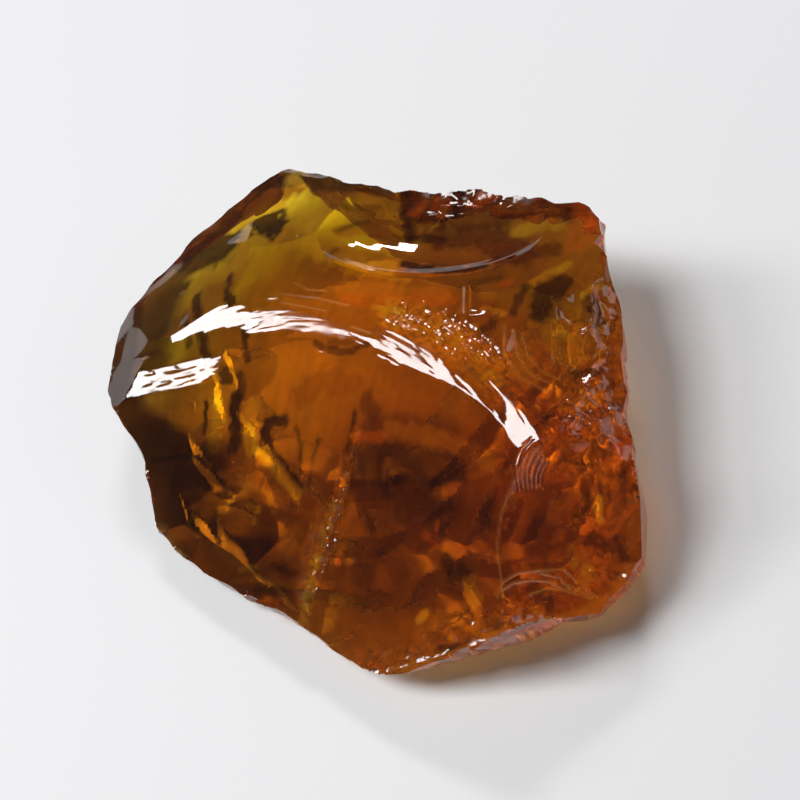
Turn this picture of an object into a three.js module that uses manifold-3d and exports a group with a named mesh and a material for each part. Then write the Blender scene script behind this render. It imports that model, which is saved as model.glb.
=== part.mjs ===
// A piece of rough topaz: one clear, golden brown crystal fragment, broken on every side.
// Its faces are the shell-shaped fractures along which it split. Each one is cut from a rough block here,
// in the way the real stone lost its flakes: a crown of two broad faces that meet in a rounded ridge,
// a long hollow behind the ridge, a scoop at the lower right, and undercuts all round that leave
// a small flat face to lie on.
//
// Millimetres, +Z up. The origin is on the surface the stone lies on, below the middle of its outline.

import * as THREE from 'three';
import { mergeVertices } from 'three/addons/utils/BufferGeometryUtils.js';
import Module from 'manifold-3d';

const { smoothstep, degToRad } = THREE.MathUtils;
const wasm = await Module();
wasm.setup();

const BLOCK_HEIGHT = 24;
const CUT_DEPTH = 30;
const STONE_COLOUR = '#b0761c';

// The outline seen from above, clockwise from the back left corner. Most points are corners between
// two fractures, and the close ones are small nicks in the rim.
const OUTLINE = [
  [-6.5, 20.5], [-3.6, 19.5], [-1.2, 18.1], [1.8, 17.4], [3.1, 16.6], [6, 17], [9.9, 16.6], [13.2, 15.8],
  [16.3, 14.6], [17.9, 14.6], [19.8, 13.4], [20, 12], [19.4, 11.1], [20.5, 9.4], [21, 5.6], [21.4, 0.9],
  [21.6, -3.2], [21.9, -5.7], [22.1, -8.5], [22, -12.4], [21, -14.6], [18.8, -16.4], [16.5, -16.9],
  [12.8, -18.4], [9.8, -19.5], [6.7, -19.8], [3.9, -20.4], [1.8, -20.5], [0.5, -20], [-1.6, -18.8],
  [-5, -16.9], [-7.7, -15], [-11.5, -13.3], [-13.7, -12], [-16.4, -10], [-17.9, -8.3], [-18.2, -6.7],
  [-18.7, -3.1], [-20.1, -0.6], [-21.4, 1.3], [-22.1, 3.1], [-21.9, 6.2], [-21.5, 8.7], [-20, 10.6],
  [-18.2, 12.5], [-16.1, 14.1], [-14.8, 15.3], [-12.2, 16.8], [-9.7, 18.4], [-8, 19.8],
];

// The crown's two broad faces, as heights over the plan, and the rounding of the ridge between them.
const FRONT_FOOT = new THREE.Vector3(-6, -17.2, 2.3);
const FRONT_RISE = new THREE.Vector2(0.355, 0.475);
const FRONT_SAG = 0.9;
const TOP_HEIGHT = 15;
const TOP_MIDDLE = new THREE.Vector2(5, 1);
const TOP_ROUND = 104;
const TOP_FALL = 0.165;
const RIDGE_BLEND = 2.2;

// A low wave that runs along the left of the front face, parallel to the ridge.
const WAVE_Y = 1.3;
const WAVE_HEIGHT = 0.9;
const WAVE_WIDTH = 1.3;
const WAVE_END = [-10, -6];

// A low step that climbs the front face: the stone is lower on the right of it.
const LEDGE_TOP = new THREE.Vector2(1, -2.9);
const LEDGE_SLANT = 0.44;
const LEDGE_DROP = 0.45;
const LEDGE_FADE = [8.5, 12.5];

// The undercuts, as [direction from the middle in degrees, distance of the foot, slope in degrees].
const UNDERCUTS = [
  [0, 14.5, 31], [-35, 17, 29], [-75, 13, 27], [-125, 12.5, 20], [-160, 14.5, 17],
  [175, 12, 27], [140, 13, 40], [110, 12.5, 44], [75, 9, 49], [40, 16, 43],
];
const UNDERCUT_HOLLOW = 70;

// The flakes lost from the crown, each with a point on its floor, the way the floor faces, the turn of its
// long axis, the radii of its hollow along and across that axis, and the size of the piece that leaves.
const WIDE = 44;
const NARROW = 18;
const FLAKE_CELLS = 24;
const FLAKES = [
  // The left shoulder, and the two smaller flakes along its outer edge.
  { at: [-17, 8.8, 8.6], facing: [-0.55, 0.27, 1], turn: 0, hollow: [60, 40], size: WIDE },
  { at: [-17.6, 11.9, 7.8], facing: [-0.45, 0.6, 1], turn: 60, hollow: [30, 10], size: NARROW },
  { at: [-21.2, 4, 5.8], facing: [-1, -0.15, 1], turn: 0, hollow: [12, 16], size: NARROW },
  // The back left: a bevel along the rim, a small cup and a three-cornered facet.
  { at: [-8.5, 18.6, 9.8], facing: [-0.05, 0.8, 1], turn: 0, hollow: [60, 30], size: WIDE },
  { at: [-12.4, 14.6, 9.2], facing: [-0.3, 0.4, 1], turn: 30, hollow: [9, 5], size: NARROW },
  { at: [-7.7, 15, 10.4], facing: [-0.1, 0.6, 1], turn: 10, hollow: [9, 6], size: NARROW },
  // The right shoulder, its back corner, its undercut side, and the flake between it and the ridge.
  { at: [20.2, -1, 10.3], facing: [0.75, 0.05, 1], turn: 0, hollow: [30, 60], size: WIDE },
  { at: [19.9, 8.6, 6.5], facing: [1, 0.25, 0.17], turn: 0, hollow: [10, 10], size: NARROW },
  { at: [20, -0.5, 4.5], facing: [1, 0.1, -0.45], turn: 0, hollow: [14, 12], size: NARROW },
  { at: [17.2, 0.6, 12.2], facing: [0.3, 0.05, 1], turn: 0, hollow: [15, 14], size: NARROW },
  // The scoop at the lower right.
  { at: [17.8, -10.6, 8.2], facing: [0.42, -0.62, 1], turn: 0, hollow: [13, 22], size: WIDE },
];

// The long hollow behind the ridge, an egg-shaped bowl that opens through the back of the rim.
const BOWL_MIDDLE = new THREE.Vector3(7, 14.5, 14.6);
const BOWL_REACH = new THREE.Vector3(12, 7, 4);

function toSolid(geometry) {
  geometry.deleteAttribute('normal');
  geometry.deleteAttribute('uv');
  const merged = mergeVertices(geometry, 1e-5);
  return new wasm.Manifold(new wasm.Mesh({
    numProp: 3,
    vertProperties: new Float32Array(merged.attributes.position.array),
    triVerts: new Uint32Array(merged.index.array),
  }));
}

function block() {
  const outline = new THREE.Shape(OUTLINE.map(([x, y]) => new THREE.Vector2(x, y)));
  return toSolid(new THREE.ExtrudeGeometry(outline, { depth: BLOCK_HEIGHT, bevelEnabled: false }));
}

// A slab that takes away all that lies above a surface: its underside has the height that `floor` gives.
function slabAbove(width, length, cells, floor) {
  const slab = new THREE.BoxGeometry(width, length, CUT_DEPTH, cells[0], cells[1], 1);
  const place = slab.attributes.position;
  for (let i = 0; i < place.count; i += 1) {
    const above = place.getZ(i) > 0;
    place.setZ(i, above ? CUT_DEPTH : floor(place.getX(i), place.getY(i)));
  }
  return slab;
}

function softMin(a, b, blend) {
  const share = Math.max(blend - Math.abs(a - b), 0) / blend;
  return Math.min(a, b) - share * share * blend / 4;
}

function frontHeight(x, y) {
  const slope = FRONT_FOOT.z + FRONT_RISE.x * (x - FRONT_FOOT.x) + FRONT_RISE.y * (y - FRONT_FOOT.y);
  const sag = FRONT_SAG * Math.max(0, 1 - (x / 14) ** 2 - ((y + 8) / 9) ** 2);
  const wave = WAVE_HEIGHT * Math.exp(-(((y - WAVE_Y) / WAVE_WIDTH) ** 2))
    * (1 - smoothstep(x, WAVE_END[0], WAVE_END[1]));
  const ledge = LEDGE_TOP.x + LEDGE_SLANT * (y - LEDGE_TOP.y);
  const drop = LEDGE_DROP * smoothstep(x, ledge - 0.5, ledge + 0.5)
    * (1 - smoothstep(slope, LEDGE_FADE[0], LEDGE_FADE[1]));
  return slope - sag + wave - drop;
}

function topHeight(x, y) {
  return TOP_HEIGHT - (x - TOP_MIDDLE.x) ** 2 / TOP_ROUND - TOP_FALL * (y - TOP_MIDDLE.y);
}

function crownHeight(x, y) {
  return softMin(frontHeight(x, y), topHeight(x, y), RIDGE_BLEND);
}

function crown() {
  return toSolid(slabAbove(50, 48, [48, 46], crownHeight));
}

// The piece that leaves with one flake: its underside is a shallow bowl round the floor's middle.
function flake({ at, facing, turn, hollow, size }) {
  const [along, across] = hollow;
  const piece = slabAbove(size, size, [FLAKE_CELLS, FLAKE_CELLS], (u, v) => u * u / (2 * along) + v * v / (2 * across));
  const upright = new THREE.Quaternion().setFromUnitVectors(
    new THREE.Vector3(0, 0, 1),
    new THREE.Vector3(...facing).normalize(),
  );
  piece.rotateZ(degToRad(turn));
  piece.applyQuaternion(upright);
  piece.translate(...at);
  return toSolid(piece);
}

function undercut([direction, reach, slope]) {
  const way = degToRad(direction);
  const lean = degToRad(slope);
  return flake({
    at: [reach * Math.cos(way), reach * Math.sin(way), 0],
    facing: [Math.cos(way) * Math.sin(lean), Math.sin(way) * Math.sin(lean), -Math.cos(lean)],
    turn: 0,
    hollow: [UNDERCUT_HOLLOW, UNDERCUT_HOLLOW],
    size: WIDE,
  });
}

function bowl() {
  const egg = new THREE.SphereGeometry(1, 56, 32);
  egg.scale(...BOWL_REACH);
  egg.translate(...BOWL_MIDDLE);
  return toSolid(egg);
}

function stone() {
  let solid = block().subtract(crown()).subtract(bowl());
  for (const one of FLAKES) {
    solid = solid.subtract(flake(one));
  }
  for (const one of UNDERCUTS) {
    solid = solid.subtract(undercut(one));
  }
  const mesh = solid.getMesh();
  const geometry = new THREE.BufferGeometry();
  geometry.setAttribute('position', new THREE.BufferAttribute(mesh.vertProperties, 3));
  geometry.setIndex(new THREE.BufferAttribute(mesh.triVerts, 1));
  geometry.computeVertexNormals();
  return geometry;
}

const topaz = new THREE.Mesh(
  stone(),
  new THREE.MeshStandardMaterial({ color: STONE_COLOUR, roughness: 0.08, metalness: 0 }),
);
topaz.name = 'topaz';

const piece = new THREE.Group();
piece.add(topaz);

export default piece;
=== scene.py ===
import math

import bmesh
import bpy
import numpy as np
from mathutils import Matrix, Quaternion, Vector
from mathutils.bvhtree import BVHTree


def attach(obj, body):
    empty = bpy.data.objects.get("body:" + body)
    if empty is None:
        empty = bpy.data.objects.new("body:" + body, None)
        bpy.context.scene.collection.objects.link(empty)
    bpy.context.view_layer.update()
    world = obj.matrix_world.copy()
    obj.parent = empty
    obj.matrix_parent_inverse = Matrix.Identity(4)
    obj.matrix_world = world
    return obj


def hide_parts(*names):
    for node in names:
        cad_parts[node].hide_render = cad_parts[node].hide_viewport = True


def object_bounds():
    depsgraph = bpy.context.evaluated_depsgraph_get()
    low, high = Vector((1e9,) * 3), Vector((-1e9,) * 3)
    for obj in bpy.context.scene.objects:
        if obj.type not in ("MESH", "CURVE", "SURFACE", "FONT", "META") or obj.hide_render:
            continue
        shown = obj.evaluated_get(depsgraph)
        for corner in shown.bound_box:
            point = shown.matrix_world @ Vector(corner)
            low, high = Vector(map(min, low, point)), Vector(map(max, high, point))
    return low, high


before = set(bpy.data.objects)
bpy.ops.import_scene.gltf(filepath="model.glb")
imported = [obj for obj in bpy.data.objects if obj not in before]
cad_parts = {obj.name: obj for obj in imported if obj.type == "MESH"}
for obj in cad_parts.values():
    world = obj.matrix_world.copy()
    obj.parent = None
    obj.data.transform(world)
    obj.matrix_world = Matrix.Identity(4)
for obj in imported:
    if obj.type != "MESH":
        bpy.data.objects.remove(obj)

cad_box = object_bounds()

# ----------------------------------------------------------------------
# The camera. It stands close to the stone, at its front right, and looks down on it steeply,
# turned about its own axis so that the stone's long side lies level in the picture.
MM = 0.001
VIEW_WAY = math.radians(33.8)
VIEW_RISE = math.radians(65.5)
VIEW_ROLL = math.radians(33.8)
VIEW_REACH = 140.6 * MM
VIEW_POINT = Vector((3.3, 0.5, 7)) * MM
FOCAL_SHARE = 2.25  # focal length over picture width
SENSOR = 36


def add_camera():
    back = Vector((
        math.sin(VIEW_WAY) * math.cos(VIEW_RISE),
        -math.cos(VIEW_WAY) * math.cos(VIEW_RISE),
        math.sin(VIEW_RISE),
    ))
    level = Vector((math.cos(VIEW_WAY), math.sin(VIEW_WAY), 0))
    upright = back.cross(level)
    right = math.cos(VIEW_ROLL) * level - math.sin(VIEW_ROLL) * upright
    up = back.cross(right)
    turn = Matrix((right, up, back)).transposed().to_4x4()
    camera = bpy.data.objects.new("camera", bpy.data.cameras.new("camera"))
    bpy.context.scene.collection.objects.link(camera)
    camera.matrix_world = Matrix.Translation(VIEW_POINT + VIEW_REACH * back) @ turn
    camera.data.sensor_width = SENSOR
    camera.data.lens = SENSOR * FOCAL_SHARE
    camera.data.clip_start = MM
    bpy.context.scene.camera = camera


add_camera()

# ----------------------------------------------------------------------
# The room: a plain pale table top, the two panes of a tall window on the left, whose soft light
# shows as bright streaks on the stone, a low lamp behind it and a dim one on its right.
TABLE_HALF = 1.5
TABLE_GAP = 0.04 * MM  # the stone stands on the high spots of the table
TABLE_COLOUR = (0.78, 0.78, 0.79, 1)
TABLE_ROUGHNESS = 0.55
GRAIN_SCALE = 900
GRAIN_STRENGTH = 0.05
GRAIN_DEPTH = 0.2 * MM
LAMP_REACH = 0.9
ROOM_COLOUR = (0.62, 0.66, 0.72, 1)
ROOM_LIGHT = 0.1


def add_mesh(name, points, faces):
    mesh = bpy.data.meshes.new(name)
    mesh.from_pydata(points, [], faces)
    mesh.update()
    piece = bpy.data.objects.new(name, mesh)
    bpy.context.scene.collection.objects.link(piece)
    return piece


def new_material(name):
    material = bpy.data.materials.new(name)
    material.use_nodes = True
    nodes = material.node_tree.nodes
    return material, nodes, material.node_tree.links, nodes["Principled BSDF"]


def table_material():
    material, nodes, links, shader = new_material("table")
    shader.inputs["Base Color"].default_value = TABLE_COLOUR
    shader.inputs["Roughness"].default_value = TABLE_ROUGHNESS
    grain = nodes.new("ShaderNodeTexNoise")
    grain.inputs["Scale"].default_value = GRAIN_SCALE
    bump = nodes.new("ShaderNodeBump")
    bump.inputs["Strength"].default_value = GRAIN_STRENGTH
    bump.inputs["Distance"].default_value = GRAIN_DEPTH
    place = nodes.new("ShaderNodeTexCoord")
    links.new(place.outputs["Object"], grain.inputs["Vector"])
    links.new(grain.outputs["Fac"], bump.inputs["Height"])
    links.new(bump.outputs["Normal"], shader.inputs["Normal"])
    return material


def add_table():
    half = TABLE_HALF
    corners = [(-half, -half), (half, -half), (half, half), (-half, half)]
    table = add_mesh("table", [(x, y, -TABLE_GAP) for x, y in corners], [(0, 1, 2, 3)])
    table.data.materials.append(table_material())


def add_panel(name, way, rise, width, height, power, roll=0):
    """A lamp's pale sheet that faces the stone: angles in degrees, sizes in metres, power in watts."""
    way, rise = math.radians(way), math.radians(rise)
    level = math.cos(rise)
    towards = Vector((math.cos(way) * level, math.sin(way) * level, math.sin(rise)))
    light = bpy.data.lights.new(name, "AREA")
    light.shape = "RECTANGLE"
    light.size = width
    light.size_y = height
    light.energy = power
    panel = bpy.data.objects.new(name, light)
    bpy.context.scene.collection.objects.link(panel)
    face = towards.to_track_quat("Z", "Y").to_matrix().to_4x4()
    turn = face @ Matrix.Rotation(math.radians(roll), 4, "Z")
    panel.matrix_world = Matrix.Translation(towards * LAMP_REACH) @ turn


def add_light():
    add_panel("low_pane", way=174, rise=41, width=0.19, height=0.36, power=3.4, roll=16)
    add_panel("high_pane", way=165, rise=65, width=0.3, height=0.33, power=4.6, roll=22)
    add_panel("back_lamp", way=90, rise=35, width=0.24, height=0.08, power=2.2)
    add_panel("right_lamp", way=8, rise=26, width=0.46, height=0.3, power=0.55)
    world = bpy.data.worlds.new("room")
    bpy.context.scene.world = world
    world.use_nodes = True
    world.node_tree.nodes["Background"].inputs["Color"].default_value = ROOM_COLOUR
    world.node_tree.nodes["Background"].inputs["Strength"].default_value = ROOM_LIGHT
    bpy.context.scene.view_settings.view_transform = "Standard"


add_table()
add_light()

# ----------------------------------------------------------------------
# The topaz: one clear golden brown crystal fragment, free of its rock. Its faces are shell-shaped
# fractures, so it is made as it was: a rough block loses its crown, a bowl, a dozen flakes and
# the undercuts that leave the flat it lies on. Heights and places are in mm.

# Its crown: a front face that rises to a ridge, with a low swell across its left end and a step
# down its middle, then a domed top behind the ridge.
STRIKE = (-7, -17.6)  # where the blow fell that split off the front face
FRONT_FOOT = (-6, -17.2, 2.3)
FRONT_RISE = (0.355, 0.475)
FRONT_SAG = 0.9
SAG_MIDDLE = (0, -8)
SAG_REACH = (14, 9)
TOP_HEIGHT = 15
TOP_MIDDLE = (5, 1)
TOP_ROUND = 104
TOP_FALL = 0.165
TOP_SWELL = (-11, 4.2, 0.5)  # its place across, its reach and its height
RIDGE_PLACES = (-16, -12, -8, -5, -1, 1, 3, 7, 13)
RIDGE_BLEND = (1.4, 2.2, 2.1, 1.1, 0.6, 0.4, 0.8, 2.9, 5.2)  # how broadly it is rounded there
LEFT_FALL = 0.3  # the left end falls off, evenly after a soft start
LEFT_FALL_FROM = -14.9
LEFT_FALL_EASE = (0.45, 1.5)
LEFT_FALL_BEHIND = (4.2, 5)
WAVE_FOOT = -0.6
WAVE_CREST = 1.5
WAVE_BACK = 3.6
WAVE_HEIGHT = 0.62
WAVE_END = (-12.5, -8.5)
LEDGE_TOP = (1, -2.9)
LEDGE_SLANT = 0.44
LEDGE_DROP = 0.45
LEDGE_RISER = (-0.15, 0.3)
LEDGE_FADE = (8.5, 12.5)


def smoothstep(x, low, high):
    share = np.clip((x - low) / (high - low), 0, 1)
    return share * share * (3 - 2 * share)


def soft_min(a, b, blend):
    share = np.maximum(blend - np.abs(a - b), 0) / blend
    return np.minimum(a, b) - share * share * blend / 4


def wander(u, v, spacing, seed):
    """Smooth unevenness between -1 and 1 whose swells are `spacing` apart."""
    rng = np.random.default_rng(seed)
    size = 64
    lattice = rng.uniform(-1, 1, (size, size))
    x, y = u / spacing + 1000.37, v / spacing + 1000.71
    i, j = np.floor(x).astype(int), np.floor(y).astype(int)
    s, t = x - i, y - j
    s, t = s * s * (3 - 2 * s), t * t * (3 - 2 * t)
    near = lattice[i % size, j % size] * (1 - s) + lattice[(i + 1) % size, j % size] * s
    far = lattice[i % size, (j + 1) % size] * (1 - s) + lattice[(i + 1) % size, (j + 1) % size] * s
    return near * (1 - t) + far * t


def rings(u, v, strike, spacing, height, low, high):
    """Ripples round the point where the blow fell, strongest between two distances from it."""
    away = np.hypot(u - strike[0], v - strike[1])
    middle = (low + high) / 2
    swell = smoothstep(away, low, middle) * (1 - smoothstep(away, middle, high))
    return height * swell * np.cos(2 * math.pi * away / spacing)


def wave(x, y):
    """The low swell across the left end of the front face, steep in front and even behind."""
    climb = smoothstep(y, WAVE_FOOT, WAVE_CREST + 0.3)
    fall = np.clip((y - WAVE_CREST) / (WAVE_BACK - WAVE_CREST), 0, 1)
    return WAVE_HEIGHT * np.maximum(climb - fall, 0) * (1 - smoothstep(x, *WAVE_END))


def ledge_line(y):
    """How far to the right the step in the front face runs."""
    return LEDGE_TOP[0] + LEDGE_SLANT * (y - LEDGE_TOP[1]) + 0.35 * wander(y, y * 0, 1.7, seed=5)


def crown_height(x, y):
    slope = FRONT_FOOT[2] + FRONT_RISE[0] * (x - FRONT_FOOT[0]) + FRONT_RISE[1] * (y - FRONT_FOOT[1])
    away = ((x - SAG_MIDDLE[0]) / SAG_REACH[0]) ** 2, ((y - SAG_MIDDLE[1]) / SAG_REACH[1]) ** 2
    sag = FRONT_SAG * np.maximum(0, 1 - away[0] - away[1])
    ledge = ledge_line(y)
    step = smoothstep(x, ledge + LEDGE_RISER[0], ledge + LEDGE_RISER[1])
    drop = LEDGE_DROP * step * (1 - smoothstep(slope, *LEDGE_FADE))
    front = slope - sag + wave(x, y) - drop
    top = TOP_HEIGHT - (x - TOP_MIDDLE[0]) ** 2 / TOP_ROUND - TOP_FALL * (y - TOP_MIDDLE[1])
    top += TOP_SWELL[2] * np.exp(-((x - TOP_SWELL[0]) / TOP_SWELL[1]) ** 2)
    height = soft_min(front, top, np.interp(x, RIDGE_PLACES, RIDGE_BLEND))
    past = np.maximum(LEFT_FALL_FROM - x, 0)
    ease = LEFT_FALL_EASE[0] * (1 - np.exp(-past / LEFT_FALL_EASE[1]))
    height -= (LEFT_FALL * past - ease) * smoothstep(y, *LEFT_FALL_BEHIND)
    height += rings(x, y, STRIKE, spacing=1.7, height=0.006, low=12, high=36)
    height += 0.03 * wander(x, y, 5.5, seed=11) + 0.002 * wander(x, y, 1.3, seed=12)
    return height


# The block: its outline drawn upwards, with sides that are flaked and lean in below the rim. The
# rim follows the crown and the five broad faces that cut it.
HALF_WIDTH, HALF_DEPTH = [round(reach / MM, 1) for reach in cad_box[1][:2]]
OUTLINE = [
    (-6.5, 20.5), (-3.6, 19.5), (-1.2, 18.1), (1.8, 17.4), (3.1, 16.6), (6, 17), (9.9, 16.6), (13.2, 15.8),
    (16.3, 14.6), (17.9, 14.6), (19.8, 13.4), (20, 12), (19.4, 11.1), (20.5, 9.4), (21, 5.6), (21.4, 0.9),
    (21.6, -3.2), (21.9, -5.7), (22.1, -8.5), (22, -12.4), (21, -14.6), (18.8, -16.4), (16.5, -16.9),
    (12.8, -18.4), (9.8, -19.5), (6.7, -19.8), (3.9, -20.4), (1.8, -20.5), (0.5, -20), (-1.6, -18.8),
    (-5, -16.9), (-7.7, -15), (-11.5, -13.3), (-13.7, -12), (-16.4, -10), (-17.9, -8.3), (-18.2, -6.7),
    (-18.7, -3.1), (-20.1, -0.6), (-21.4, 1.3), (-22.1, 3.1), (-21.9, 6.2), (-21.5, 8.7), (-20, 10.6),
    (-18.2, 12.5), (-16.1, 14.1), (-14.8, 15.3), (-12.2, 16.8), (-9.7, 18.4), (-8, 19.8),
]
BLOCK_HEIGHT = 24
WALL_CELL = 0.4
WALL_CHIP = 0.75  # the deepest chip in the sides
WALL_CHIP_SHARE = 0.7  # how much of each chip is cut
WALL_LEAN = 0.45
RIM_BAND = 1.3  # how far below the rim the sides stay upright
RIM_HIGHEST = 10.5
RIM_UNEVEN = 0.006
RIM_KEPT = (21.9, 20.3)  # farther out than this the outline stays as it is
SEAM = 1.5  # the chips fade out this near to where the outline closes
OUTER_HOLD = 0.7  # and this near to its outermost places
LEFT_SHOULDER = ((-17, 8.8, 8.1), (-0.49, 0.24, 1))  # a place on each face and the way it looks
LEFT_BACK = ((-17.6, 11.9, 7.6), (-0.42, 0.32, 1))
BACK_BEVEL = ((-8.5, 18.6, 9.6), (-0.05, 0.62, 1))
RIGHT_SHOULDER = ((20.2, -1, 10.3), (0.75, 0.05, 1))
SCOOP = ((17.8, -10.6, 8.2), (0.42, -0.62, 1))


def scallops(u, v, spacing, radius, lift, seed):
    """Small shell-shaped scars side by side: the lowest of many bowls, as heights above their floors."""
    rng = np.random.default_rng(seed)
    low_u, high_u, low_v, high_v = u.min(), u.max(), v.min(), v.max()
    count = max(4, int((high_u - low_u) * (high_v - low_v) / spacing ** 2))
    height = np.full(u.shape, 1e9)
    for _ in range(count):
        a, b = rng.uniform(low_u, high_u), rng.uniform(low_v, high_v)
        r = radius * rng.uniform(0.6, 1.8)
        away = ((u - a) ** 2 + (v - b) ** 2) / (2 * r)
        height = np.minimum(height, away + lift * rng.uniform(0, 1))
    return height


def place_piece(name, points, faces, at=(0, 0, 0), facing=(0, 0, 1), turn=0):
    spin = Quaternion((0, 0, 1), math.radians(turn))
    lean = Vector((0, 0, 1)).rotation_difference(Vector(facing).normalized())
    matrix = Matrix.Translation(at) @ (lean @ spin).to_matrix().to_4x4()
    piece = add_mesh(name, np.asarray(points).tolist(), faces)
    piece.data.transform(Matrix.Scale(MM, 4) @ matrix)
    return piece


def fine_outline():
    """The outline in steps of a cell, with the small unevenness of a broken edge."""
    corners = np.array(OUTLINE)
    ring = []
    for here, there in zip(corners, np.roll(corners, -1, 0)):
        steps = max(1, int(np.hypot(*(there - here)) / WALL_CELL))
        ring += [here + (there - here) * k / steps for k in range(steps)]
    ring = np.array(ring)
    inward = 1 - RIM_UNEVEN * (1 + wander(ring[:, 0], ring[:, 1], 1.3, seed=3)) / 2
    inward[np.abs(ring[:, 0]) > RIM_KEPT[0]] = 1
    inward[np.abs(ring[:, 1]) > RIM_KEPT[1]] = 1
    return (ring * inward[:, None])[::-1].tolist()


def rim_level(x, y):
    """How high the upper faces meet the sides, at places along the outline."""
    level = np.minimum(crown_height(x, y), RIM_HIGHEST)
    for (ax, ay, az), (fx, fy, fz) in (LEFT_SHOULDER, LEFT_BACK, BACK_BEVEL, RIGHT_SHOULDER, SCOOP):
        level = np.minimum(level, az - ((x - ax) * fx + (y - ay) * fy) / fz)
    return level


def block():
    ring = np.array(fine_outline())
    n, rows = len(ring), int(BLOCK_HEIGHT / WALL_CELL)
    length = np.hypot(*(np.roll(ring, -1, 0) - ring).T).cumsum()
    around, rise = np.meshgrid(length, np.linspace(0, BLOCK_HEIGHT, rows + 1), indexing="ij")
    level = rim_level(*ring.T)[:, None]
    scars = scallops(around + 0.5 * rise, rise, spacing=2.4, radius=2.1, lift=0.5, seed=97)
    chips = np.maximum(WALL_CHIP - scars, 0)
    hold = smoothstep(around, 0, SEAM) * (1 - smoothstep(around, length[-1] - SEAM, length[-1]))
    hold_across = smoothstep(HALF_WIDTH - np.abs(ring.T[0]), 0, OUTER_HOLD)
    hold_along = smoothstep(HALF_DEPTH - np.abs(ring.T[1]), 0, OUTER_HOLD)
    hold *= (hold_across * hold_along)[:, None]
    inward = (WALL_CHIP_SHARE * chips + WALL_LEAN * np.maximum(level - RIM_BAND - rise, 0)) * hold
    x, y = (ring.T[:, :, None] * (1 - inward / np.hypot(*ring.T)[:, None])).round(6)
    points = np.stack([x, y, rise], -1).transpose(1, 0, 2).reshape(-1, 3)
    walls = [
        (r * n + i, r * n + (i + 1) % n, (r + 1) * n + (i + 1) % n, (r + 1) * n + i)
        for r in range(rows) for i in range(n)
    ]
    ends = [tuple(range(n))[::-1], tuple(range(rows * n, (rows + 1) * n))]
    return place_piece("topaz_crystal", points, ends + walls)


stone = block()

# What splits off the block: slabs whose lower faces are the stone's new faces, and one bowl.
CUT_DEPTH = 30
BOWL_MIDDLE = (7, 14.5, 14.6)
BOWL_REACH = (12, 7, 4)
BOWL_CELLS = (200, 110)
BOWL_RIPPLE = 0.0012
BOWL_RIPPLES = 46
BOWL_UNEVEN = 0.006


def slab_over(points_low, depth):
    """A closed slab whose lower face is a grid of points and whose flat upper face lies `depth` above."""
    nu, nv = points_low.shape[0] - 1, points_low.shape[1] - 1
    low = points_low.reshape(-1, 3)
    row = nv + 1
    rim = list(range(0, nu * row, row)) + list(range(nu * row, nu * row + nv))
    rim += list(range(nu * row + nv, nv, -row)) + list(range(nv, 0, -1))
    high = low[rim].copy()
    high[:, 2] = low[:, 2].max() + depth
    i, j = np.meshgrid(np.arange(nu), np.arange(nv), indexing="ij")
    first = (i * row + j).ravel()
    faces = np.stack([first, first + 1, first + row + 1, first + row], -1).tolist()
    n, top = len(rim), len(low)
    faces += [[rim[k], rim[(k + 1) % n], top + (k + 1) % n, top + k] for k in range(n)]
    faces.append(list(range(top, top + n)))
    return np.concatenate([low, high]), faces


def slab_above(width, length, cells, floor):
    """A slab that takes away all that lies above the surface whose heights `floor` gives."""
    nu, nv = cells
    across, along = np.linspace(-width / 2, width / 2, nu + 1), np.linspace(-length / 2, length / 2, nv + 1)
    u, v = np.meshgrid(across, along, indexing="ij")
    return slab_over(np.stack([u, v, floor(u, v)], -1), CUT_DEPTH)


def flake(name, at, facing, hollow, size, cell, turn=0, ripple=None, rough=None, seed=0):
    """A slab with a hollow lower face. `ripple` and `rough` are what rings() and scallops() need."""
    along, across = hollow

    def floor(u, v):
        height = u * u / (2 * along) + v * v / (2 * across)
        height = height + 0.05 * wander(u, v, 3.5, seed) + 0.01 * wander(u, v, 1.1, seed + 1)
        if ripple:
            height = height + rings(u, v, *ripple)
        if rough:
            height = height + scallops(u, v, *rough, seed + 2)
        return height

    cells = int(size / cell)
    return place_piece(name, *slab_above(size, size, (cells, cells), floor), at, facing, turn)


def bowl():
    columns, rows = BOWL_CELLS
    turns = np.linspace(0, 2 * math.pi, columns, endpoint=False)
    falls = np.linspace(0, math.pi, rows + 1)[1:-1]
    around, down = np.meshgrid(turns, falls, indexing="ij")
    swell = 1 + BOWL_RIPPLE * np.cos(down * BOWL_RIPPLES)
    swell = swell + BOWL_UNEVEN * wander(around * 3, down * 3, 1, seed=31)
    unit = np.stack([np.cos(around) * np.sin(down), np.sin(around) * np.sin(down), np.cos(down)], -1)
    unit = unit * swell[..., None]
    points = unit.reshape(-1, 3).tolist() + [(0, 0, 1), (0, 0, -1)]
    n = rows - 1
    faces = []
    for c in range(columns):
        d = (c + 1) % columns
        faces.append((columns * n, c * n, d * n))
        faces.append((columns * n + 1, d * n + n - 1, c * n + n - 1))
        for r in range(n - 1):
            faces.append((c * n + r, c * n + r + 1, d * n + r + 1, d * n + r))
    piece = add_mesh("bowl", points, faces)
    reach = Matrix.Diagonal((*BOWL_REACH, 1))
    piece.data.transform(Matrix.Scale(MM, 4) @ Matrix.Translation(BOWL_MIDDLE) @ reach)
    return piece


# The sides below the rim, which lean in to the flat that the stone lies on.
UNDERCUTS = [  # direction, distance of its foot, slope
    (0, 14.5, 31), (-35, 17, 29), (-75, 13, 27), (-125, 12.5, 20), (-160, 14.5, 17),
    (175, 12, 27), (140, 11, 28), (110, 10.2, 28), (66, 11.1, 48), (40, 16, 43),
]
RIM_CUTS = [(-62, 20.5, 66), (-80, 18.9, 66)]
UNDERCUT_HOLLOW = 70
UNDERCUT_SIZE = 44


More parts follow.
